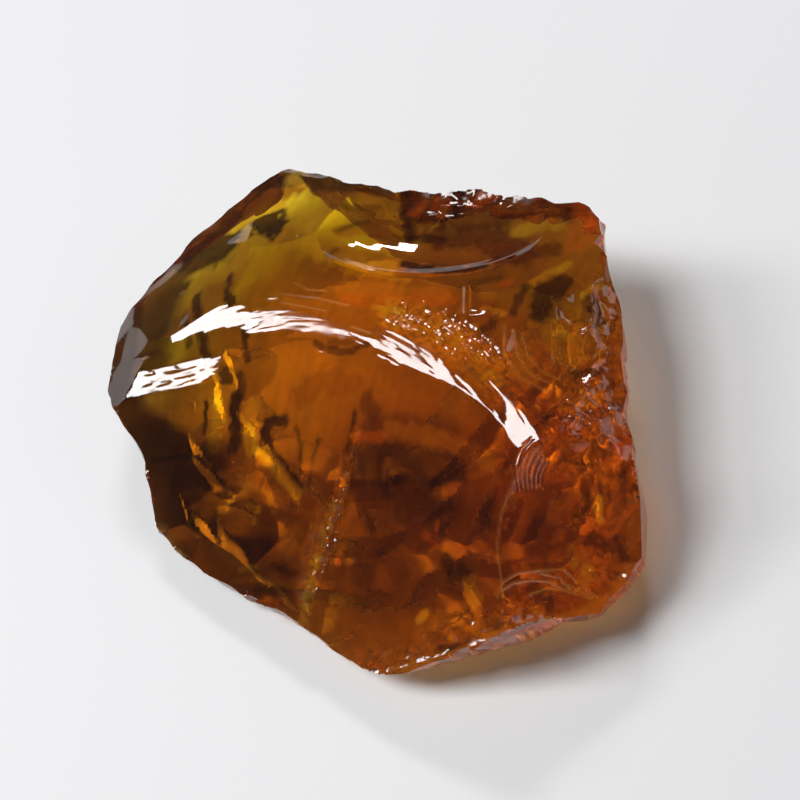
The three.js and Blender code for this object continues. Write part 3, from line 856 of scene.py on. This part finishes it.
# Strokes along lines, partly the stone's colour and partly painted light and shade.
LIGHT_SHADE_AND_COLOUR_STROKES = [
    # colour, strength, half width, places along its line
    # riser of the step: a painted sparkle along it, and amber beside it
    (BRIGHT, 0.55, 0.3, *STEP_LINE[2:]),
    (AMBER, 0.5, 0.8, *BESIDE_STEP),
    # back left rim, and the golden leaf in it
    (OLIVE, 0.85, 0.62, (-15, 13.3), (-12.1, 15.1), (-9.6, 16.7), (-7.3, 18.7), (-5.7, 19.6)),
    (OLIVE, 0.8, 0.54, (-5.3, 19.5), (-0.7, 17.1), (2.4, 16.6)),
    (AMBER, 0.8, 0.45, (-9.6, 16.5), (-7.6, 18), (-4.7, 17.9)),
    # golden back: painted light, where light comes through the thin back
    (GOLD, 1, 1.07, (-9.5, 9.3), (-8.6, 11), (-7.7, 12.4)),
    (GOLD, 1, 0.98, (-7, 9.4), (-8, 11.5)),
    (BRIGHT, 1, 1.34, (-4.7, 16.1), (-3.7, 13.5), (-4.3, 11.8)),
    (BRIGHT, 1, 1.07, (-2, 11), (0.2, 10), (3, 9.5)),
    (GOLD, 1, 1.07, (-1.9, 15.3), (0.1, 15.4), (1.7, 14.8)),
    # inside the bowl
    (BROWN, 0.55, 0.54, (-1, 13), (1.4, 13.7), (3.1, 12.4)),
    (DARK, 0.5, 0.22, (-1.1, 13.1), (-0.3, 13.7), (1.1, 14.1)),
    (DARK, 0.45, 0.22, (-0.6, 15.3), (0.6, 15.2), (2, 15.4)),
    (DARK, 0.5, 0.27, (-1.5, 10.7), (-1, 11.2)),
    # dark strokes in the gold: painted shade
    (DARK, 0.85, 0.4, (-9.8, 9.9), (-9.9, 8.5), (-9.5, 7.4)),
    (DARK, 0.8, 0.45, (-13.1, 9), (-12.7, 7.3), (-12.2, 5.3), (-11.6, 2.9)),
    (DARK, 0.7, 0.31, (-14.1, 7.1), (-13.6, 6), (-13.4, 4.9)),
    (DARK, 0.8, 0.36, (-8.1, 5.5), (-8.2, 4.3), (-8.1, 3)),
    (DARK, 0.75, 0.62, (-10.4, 2.1), (-9, 1.7), (-8.9, 0.7)),
    (DARK, 0.93, 0.58, (-9.3, 0.3), (-9.6, -1.5), (-9.9, -3.2)),
    (DARK, 0.85, 0.23, (-12.1, 0.3), (-12.5, -1.7)),
    # golden bars: painted light
    (BRIGHT, 1, 0.54, (-10.9, 0.5), (-11.3, -1.1), (-11.7, -2.8)),
    (GOLD, 0.9, 0.54, (-7.9, -0.3), (-8.3, -2), (-8.3, -3.4)),
    (GOLD, 0.9, 0.36, (-12.4, 2.6), (-12.3, 1.3), (-12.6, 0.7)),
    (GOLD, 0.8, 0.27, (-14.4, 0.9), (-14.3, 0.3)),
    # claw, and the amber bar below it: painted shade and painted light
    (DARK, 0.9, 0.45, (-5.2, -1.8), (-6.7, -1.7), (-7.1, -2.4), (-6.7, -3.5)),
    (DARK, 0.85, 0.27, (-6.7, -3.5), (-5.8, -4.5), (-4.3, -6.4)),
    (GOLD, 0.85, 0.4, (-7.5, -3.6), (-6.2, -5), (-4.7, -6.9)),
    (DARK, 0.6, 0.18, (-4.2, -2.4), (-4, -3.6), (-4.2, -5.3)),
    (DARK, 0.65, 0.18, (-2.4, -3.4), (-3.1, -4.8), (-3.5, -6.5)),
    # darker strokes behind the ridge
    (DARK, 0.6, 0.27, (-1.9, 3), (-0.4, 2.2), (1.1, 2), (2.6, 2.3)),
    (DARK, 0.45, 0.27, (-0.7, 2.8), (1.1, 2.6)),
    (DARK, 0.5, 0.62, (2, -1.4), (2.4, -2.2)),
    (DARK, 0.7, 0.18, (1, -2), (0.3, -3.8), (-0.1, -4.5)),
    (BROWN, 0.6, 0.8, (-3.6, -0.3), (-1.8, 0.5), (0.8, -0.2)),
    # amber band behind the ridge
    (AMBER, 0.7, 0.8, (0.3, 7.1), (3.9, 6.6), (7.8, 6)),
    (ORANGE, 0.45, 0.54, (0.3, 6.2), (4.1, 5.9), (8.6, 5.6)),
    # right half of the bowl
    (DARK_RED, 0.75, 1.25, (6.9, 12.4), (10.9, 12.2), (13.5, 10)),
    (DARK_RED, 0.75, 0.89, (5.5, 14.7), (8.6, 13.8), (11.7, 13.7)),
    (DARK, 0.75, 0.54, (4, 16.3), (4.2, 14.6), (4.6, 12.7)),
    (DARK, 0.7, 0.45, (4.5, 12.6), (6.9, 12.2)),
    # flecks in the bowl: the orange ones are painted glints
    (ORANGE, 1, 0.45, (4.8, 14.8), (5.3, 15.4)),
    (ORANGE, 0.95, 0.54, (6.4, 15.3), (7.2, 15.5)),
    (ORANGE, 0.95, 0.36, (6.9, 14.6), (7.1, 15.3)),
    (DARK, 0.55, 0.54, (8.2, 16.2), (8.2, 14.7)),
    (ORANGE, 1, 0.49, (9.5, 15.2), (10.5, 15.8), (11.1, 15.9)),
    (ORANGE, 0.7, 0.98, (18.4, 13.8), (18.4, 12.3), (17.9, 11)),
    (OLIVE, 0.6, 0.62, (12.1, 14.9), (14.5, 14.3), (16.6, 13.4)),
    (GOLD, 0.8, 0.54, (13.2, 12.2), (14.5, 12.3), (16.2, 12.4)),
    # shade under the lip
    (DARK, 0.9, 0.45, (4.3, 9.9), (6.5, 9.2), (9.2, 8.8), (10.8, 9)),
    (GOLD, 0.8, 0.36, (0, 9.2), (2.9, 8.3), (5.3, 7.7)),
    (DARK_RED, 0.7, 0.62, (12, 9.2), (13.9, 9.5), (16, 10.1)),
    # yellow leaves and flecks at the right: painted reflections inside the stone
    (BRIGHT, 1, 0.36, (14.6, 7), (15.6, 7.7), (17.2, 8.8)),
    (BRIGHT, 0.9, 0.22, (18.3, 6.2), (19.4, 7.1)),
    (GOLD, 0.9, 0.27, (11.2, 4.9), (12.7, 4.4)),
    (GOLD, 0.8, 0.27, (2.9, 5.3), (5, 4.9)),
    (ORANGE, 0.8, 0.27, (12.4, 7), (13, 7.2)),
    # stripes of the small cup: painted pale reflections
    ((0.6, 0.52, 0.42), 0.6, 0.2, (-14, 14.1), (-10.4, 12.7)),
    ((0.6, 0.52, 0.42), 0.6, 0.2, (-13.9, 13.2), (-10.5, 11.7)),
    # sugary band
    (GOLD, 0.35, 1.5, (4.5, 4.6), (7.3, 3.2), (9.6, 1.8), (11.9, -0.3)),
    (DARK, 0.7, 0.36, (13.4, 4.5), (13.8, 5.9), (14.3, 6.8)),
    # round the thumb scar
    (DARK, 0.8, 0.8, (15.3, 4.6), (15.5, 6.3), (16.8, 7.1)),
    (DARK, 0.6, 0.62, (18.8, 5.9), (19.2, 4.7)),
    (DARK, 0.6, 0.36, (17.6, 0.1), (19.3, 0.5)),
    (DARK, 0.4, 0.27, (10, 7), (12.2, 7.5)),
    (DARK, 0.6, 0.36, (11.4, 3.1), (11.9, 3.7)),
    # glow in the rippled flake
    (GOLD, 0.6, 1.25, (16.7, 2.8), (17.5, 1.9)),
    (AMBER, 0.6, 0.89, (13.4, 1.4), (14.2, -0.5)),
    (AMBER, 0.6, 0.71, (16.8, -2.4), (18.8, -1.9)),
    # a fine straight crack
    (DARK, 0.6, 0.12, (15.6, -3.9), (17.8, -3.7)),
    (DARK, 0.5, 0.12, (16.7, -6.6), (18.9, -6.6)),
    # dark square, and the amber band above it
    (DARK, 0.55, 1.43, (2, -5.5), (6.1, -6.5), (8.5, -7.1)),
    (DARK, 0.4, 1.16, (4.5, -8.4), (7.2, -9.3)),
    (DARK, 0.5, 0.8, (0.3, -4.8), (0.5, -6.3)),
    (AMBER, 0.5, 0.62, (4, -3.6), (7.9, -4.8), (11.8, -6.9)),
    (ORANGE, 0.5, 0.36, (0.8, -3.5), (2.9, -3.9)),
    (DARK, 0.35, 0.8, (-0.8, -11.9), (0.9, -13.5)),
    # red flecks
    (ORANGE, 0.7, 0.18, (7.2, -10.2), (7.1, -11)),
    (ORANGE, 0.6, 0.27, (-1.1, -10.9), (-1.5, -12.1)),
    (ORANGE, 0.6, 0.27, (6, -10.9), (7, -11.8)),
    (DARK, 0.6, 0.45, (7.6, -12.7), (7.9, -13.5)),
    (DARK, 0.5, 0.36, (9, -13.5), (9.7, -14.3)),
    (DARK, 0.5, 0.71, (11.4, -10.1), (11.2, -11.4)),
    (DARK, 0.4, 0.89, (14.6, -12.1), (14.9, -11.1)),
    # chips and oval at the right
    (AMBER, 0.9, 0.3, (19.1, -8.7), (19.1, -10)),
    (ORANGE, 0.9, 0.31, (20.7, -5.3), (20.6, -6.6)),
    (AMBER, 0.7, 0.45, (17.5, -12.8), (18.2, -13.8)),
    (AMBER, 0.6, 0.3, (17, -12), (17.2, -13.2)),
    (DARK, 0.7, 0.36, (20.2, -11.2), (20.8, -12.6)),
    (DARK, 0.6, 0.54, (18.5, -11.3), (19.4, -11.8)),
    (DARK, 0.6, 0.45, (18.2, -8.2), (18.2, -9.4)),
    (DARK, 0.5, 0.27, (21, -6.8), (20.9, -8.7)),
    (ORANGE, 0.9, 0.36, (13.3, -13.8), (13.7, -13.8)),
    # golden spot at the foot
    (AMBER, 0.8, 0.6, (7, -16.8), (8.5, -17.1)),
    (BRIGHT, 0.9, 0.36, (5.3, -16.8), (5.7, -16.5)),
    (GOLD, 0.6, 0.54, (9.6, -14.7), (9.9, -15.9)),
    (DARK, 0.6, 0.54, (14.4, -15.3), (15.1, -15.8)),
    (DARK, 0.5, 0.45, (10.6, -17.2), (11.8, -17.9)),
    (DARK, 0.6, 0.27, (6.8, -19), (9, -18.8)),
    # orange bevel
    (AMBER, 0.8, 0.71, (18.1, -16.2), (20.1, -15.1), (21.3, -13.6)),
    (AMBER, 0.9, 0.35, (2, -20.4), (8, -19.5), (14, -17.7), (18, -16.3), (21.4, -13.8)),
    (ORANGE, 0.9, 0.27, (1, -19.5), (2.1, -19.9)),
    (ORANGE, 0.6, 0.27, (-0.2, -19.4), (0.3, -19.8)),
    # rings in the dark foot
    (AMBER, 0.8, 0.23, (-11.3, -5.9), (-10.4, -5.5), (-9.1, -5.7), (-7.2, -6.6), (-6.8, -7.9)),
    (AMBER, 0.8, 0.18, (-11.9, -8), (-11.6, -6.9), (-10.6, -6.3), (-9.2, -6.3)),
    (GOLD, 0.7, 0.21, (-10.8, -5.7), (-10.5, -6.6), (-11.1, -7.5)),
    (GOLD, 0.7, 0.14, (-14.2, -7.3), (-14.5, -8.5)),
    (GOLD, 0.6, 0.14, (-8.1, -7.4), (-8.7, -8.6)),
    (AMBER, 0.8, 0.23, (-10.8, -12.7), (-8.8, -12.6), (-6.4, -13.2)),
    (ORANGE, 0.8, 0.27, (-10.3, -13.8), (-8.3, -14), (-7, -14.6)),
    (DARK, 0.6, 0.45, (-8.6, -13.6), (-6.6, -13.8)),
    (GOLD, 0.7, 0.22, (-10.2, -11.9), (-8.7, -11.7)),
    (AMBER, 0.5, 0.62, (-4.9, -9.4), (-5.4, -11.5)),
    # a step in the black foot
    (PAINTED_SHADE, 0.6, 0.18, (-17.8, -3), (-15.2, -3.1), (-12.6, -3.6)),
    # thin edge
    (AMBER, 0.7, 0.14, (-16.4, -10.3), (-13.9, -11.8), (-11.9, -13.2)),
]
# Painted sparkle: along these rough bands the tint is lightened and darkened in fine grains, lighter on the
# whole, partly the grain of the broken surface and partly painted sparkle.
GRAIN_AND_SPARKLE = [
    # strength, half width, places along its line
    (0.9, 0.5, *STEP_LINE),
    (0.7, 0.8, *BESIDE_STEP),
    (1, 1.6, (4.5, 4.6), (7.3, 3.2), (9.6, 1.8), (11.9, -0.3), (13.1, -2.2)),
    (0.7, 2, (17.4, -4.5), (18.4, -8), (18, -13), (14, -16.4)),
    (0.6, 1.8, (19, 4.7), (19.8, 1.6), (20.3, -2.4), (20.3, -9.9), (18.4, -13.3)),
    (0.6, 1.3, (-1.3, -18.4), (3.4, -19.2), (8.5, -18.6), (14, -17)),
    (0.5, 1, (-16, 14), (-9.8, 17.5), (-5.5, 20), (2.8, 16.9), (14, 15.4), (19, 12.5)),
]
CRACKS = [
    # fine cracks and lips, drawn as pale lines: partly real cracks, partly painted glints
    [(-5.2, 7.5), (-2.1, 6.7), (0.7, 5.7)],
    [(-5, 6.7), (-2.9, 6), (-1.1, 5.4)],
    [(-4, 8.3), (-2.8, 7.5), (-1.3, 7.2)],
    [(1.1, 3.8), (2.7, 3.1)],
    [(12.7, 3.4), (12.9, 0.9), (14, -0.7), (15.7, -1.5)],
    [(13.4, 3), (13.8, 0.9), (14.8, -0.4), (16.2, -0.9)],
    [(14, 2.7), (14.5, 1), (15.5, -0), (16.7, -0.5)],
    [(9.6, 6.7), (9.7, 4.5)],
    [(13.6, -8.3), (12.5, -10.4), (12, -12.4), (12.1, -14.4), (12.2, -15.9)],
]
CRACK_WIDTH = 0.11
CRACK_AND_GLINT_COLOUR = (1, 0.9, 0.7)


def streaks(x, y, turn, length, width, seed):
    """Uneven streaks drawn out along a direction, between -1 and 1."""
    a = math.radians(turn)
    along, across = x * math.cos(a) + y * math.sin(a), y * math.cos(a) - x * math.sin(a)
    return wander(along / length, across / width, 1, seed)


def blend_in(colour, shade, mask):
    return colour * (1 - mask[:, None]) + np.array(shade) * mask[:, None]


def patch_mask(x, y, number, place, reach, turn, square, soft):
    """1 on a patch and 0 off it. `square` 2 is an oval, and more brings it nearer to a rectangle."""
    a = math.radians(turn)
    ragged = min(0.22, 0.3 / min(reach))
    dx, dy = x - place[0] + ragged * wander(x, y, 0.9, seed=150 + number), y - place[1]
    u = (dx * math.cos(a) + dy * math.sin(a)) / reach[0]
    v = (dy * math.cos(a) - dx * math.sin(a)) / reach[1]
    away = (np.abs(u) ** square + np.abs(v) ** square) ** (1 / square)
    away = away + 0.15 * wander(x, y, 1.8, seed=100 + number)
    return 1 - smoothstep(away, 1 - soft, 1 + soft)


def inside(x, y, corners):
    """1 inside a ring of corners and 0 outside, with a slightly ragged, soft edge."""
    odd = np.zeros(x.shape, bool)
    for (ax, ay), (bx, by) in zip(corners, corners[1:] + corners[:1]):
        level = (ay > y) != (by > y)
        odd ^= level & (x < ax + (bx - ax) * (y - ay) / (by - ay + 1e-9))
    away = away_from(x, y, corners + corners[:1])
    return smoothstep(np.where(odd, away, -away) + 0.15 * wander(x, y, 0.5, seed=206), -0.12, 0.12)


def tint_below(x, y):
    colour = np.tile(np.array(UNDER_TINT), (len(x), 1))
    for number, (*patch, shade, strength) in enumerate(LOWER_PATCHES):
        colour = blend_in(colour, shade, strength * patch_mask(x, y, number + 30, *patch))
    for shade, strength, corners in LOWER_SHAPES:
        colour = blend_in(colour, shade, strength * inside(x, y, corners))
    return colour


def tint_at(x, y):
    colour = np.tile(np.array(BODY_TINT), (len(x), 1))
    for number, (*patch, shade, strength) in enumerate(PATCHES):
        colour = blend_in(colour, shade, strength * patch_mask(x, y, number, *patch))
    colour = blend_in(colour, DARK, 0.95 * inside(x, y, DARK_TRIANGLE))
    uneven = 0.45 * wander(x, y, 0.45, seed=195)
    for shade, strength, half_width, *line in LIGHT_SHADE_AND_COLOUR_STROKES:
        away = away_from(x, y, line) / half_width + uneven
        colour = blend_in(colour, shade, strength * (1 - smoothstep(away, 0.6, 1.4)))
    mottle_and_sparkle = 0.12 * wander(x, y, 1.5, seed=201) + 0.1 * streaks(x, y, 68, 1.8, 0.4, seed=202)
    mottle_and_sparkle = mottle_and_sparkle + 0.06 * wander(x, y, 0.35, seed=203)
    grain = wander(x, y, 0.22, seed=204) + 0.5 * wander(x, y, 0.5, seed=205)
    # painted sparkle: grains of mostly lighter tint along the rough bands
    for strength, half_width, *line in GRAIN_AND_SPARKLE:
        near = 1 - smoothstep(away_from(x, y, line) / half_width, 0.5, 1.3)
        mottle_and_sparkle += 0.5 * strength * (grain + 0.5) * near
    colour = np.clip(colour * np.exp(mottle_and_sparkle)[:, None], 0, 1)
    # Pale lines along the cracks, lips and feather: partly painted glints.
    for line in CRACKS + FEATHER:
        mask = 0.5 * np.exp(-(away_from(x, y, line) / CRACK_WIDTH) ** 2)
        colour = blend_in(colour, CRACK_AND_GLINT_COLOUR, mask)
    return colour


# Where the faces are frosted by fine relief too small to cut.
FROSTED = [
    # roughness, half width, places along its line
    (0.25, 0.45, *STEP_LINE),
    (0.26, 0.8, *BESIDE_STEP),
    # sugary band
    (0.08, 1.34, (4.5, 4.3), (7.3, 2.7), (9.6, 1.4), (11.9, -0.7), (13.1, -2.4)),
    # chipped right shoulder
    (0.17, 1.43, (19.5, 4.7), (20.3, 1.6), (20.8, -2.4), (21, -6.2)),
    (0.16, 1.61, (21, -6.8), (20.4, -9.9), (18.9, -13.3)),
    # foot
    (0.2, 1.07, (-1.3, -18.7), (3.4, -19.6), (8.5, -19.1), (14, -17.3)),
    # left rim
    (0.08, 1.61, (-20.2, 7.8), (-18.5, 10.8), (-15.1, 12.9)),
    # ridge
    (0.24, 0.9, (-6.3, 5.8), (-3.3, 4.9), (0.5, 3.5)),
    (0.04, 0.8, (-12.4, 6.8), (-6.7, 6)),
    (0.15, 1.16, (3.8, 3), (6.6, 1.4)),
    # swell
    (0.09, 1.34, (-20.8, 2.6), (-16.3, 2.6), (-11.5, 2.4), (-8.4, 2.2)),
    (0.12, 1.3, (-21.8, 1), (-20.8, 2.6), (-20.8, 4.6)),
    (0.15, 0.54, (21.8, -3.9), (21.4, -13.5)),
    # back rim
    (0.25, 0.8, (-15.4, 15.6), (-9.8, 17.5), (-5.5, 20), (2.8, 16.9)),
    (0.3, 0.9, (6, 16.6), (10, 16.2), (14, 15.2)),
]
CRACK_FROST = 0.35
UNDERSIDE_FROST = 0.38


def frost_at(x, y):
    rough = np.zeros(len(x))
    patchy = 0.6 + 0.4 * wander(x, y, 0.6, seed=196)
    for amount, half_width, *line in FROSTED:
        away = away_from(x, y, line) / half_width
        rough = np.maximum(rough, amount * patchy * (1 - smoothstep(away, 0.5, 1.3)))
    for line in CRACKS + FEATHER:
        rough = np.maximum(rough, CRACK_FROST * np.exp(-(away_from(x, y, line) / CRACK_WIDTH) ** 2))
    return rough


WALL_CLIMB = 0.8  # how fast the colour changes with height on the walls


def mark_faces(stone):
    """Tint and frost at each corner. The tint is squared, as the shader dims light by its root."""
    mesh = stone.data
    spots = np.empty(len(mesh.vertices) * 3)
    mesh.vertices.foreach_get("co", spots)
    x, y, z = spots.reshape(-1, 3).T / MM
    normals = np.empty(len(mesh.vertices) * 3)
    mesh.vertices.foreach_get("normal", normals)
    lean = normals.reshape(-1, 3)[:, 2]
    up, low = smoothstep(lean, -0.45, -0.1), 1 - smoothstep(lean, 0.1, 0.4)
    climb = WALL_CLIMB * z * (1 - smoothstep(np.abs(lean), 0.3, 0.6))
    upper_tint = 1 + (tint_at(x + climb, y + climb) - 1) * up[:, None]
    lower_tint = 1 + (tint_below(x, y) - 1) * low[:, None]
    layer = mesh.attributes.new("tint", "FLOAT_VECTOR", "POINT")
    layer.data.foreach_set("vector", ((upper_tint * lower_tint) ** 2).ravel())
    frost = mesh.attributes.new("frost", "FLOAT", "POINT")
    frost.data.foreach_set("value", frost_at(x, y) * up + UNDERSIDE_FROST * (1 - up))


mark_faces(stone)

# The crystal is clear. It bends light as topaz does, and its depth takes most of the blue.
TOPAZ_INDEX = 1.62
FRESH_BREAK = 0.012  # roughness of a clean fracture
DEPTH_COLOUR = (0.994, 0.945, 0.0, 1)
DEPTH_DENSITY = 380


def topaz_material():
    material, nodes, links, shader = new_material("topaz")
    shader.inputs["IOR"].default_value = TOPAZ_INDEX
    shader.inputs["Transmission Weight"].default_value = 1
    tint = nodes.new("ShaderNodeAttribute")
    tint.attribute_name = "tint"
    links.new(tint.outputs["Vector"], shader.inputs["Base Color"])
    frost = nodes.new("ShaderNodeAttribute")
    frost.attribute_name = "frost"
    polish = nodes.new("ShaderNodeMath")
    polish.operation = "ADD"
    polish.inputs[1].default_value = FRESH_BREAK
    links.new(frost.outputs["Fac"], polish.inputs[0])
    links.new(polish.outputs["Value"], shader.inputs["Roughness"])
    depth = nodes.new("ShaderNodeVolumeAbsorption")
    depth.inputs["Color"].default_value = DEPTH_COLOUR
    depth.inputs["Density"].default_value = DEPTH_DENSITY
    links.new(depth.outputs["Volume"], nodes["Material Output"].inputs["Volume"])
    return material


stone.data.materials.clear()
stone.data.materials.append(topaz_material())
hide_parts("topaz")
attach(stone, "root")
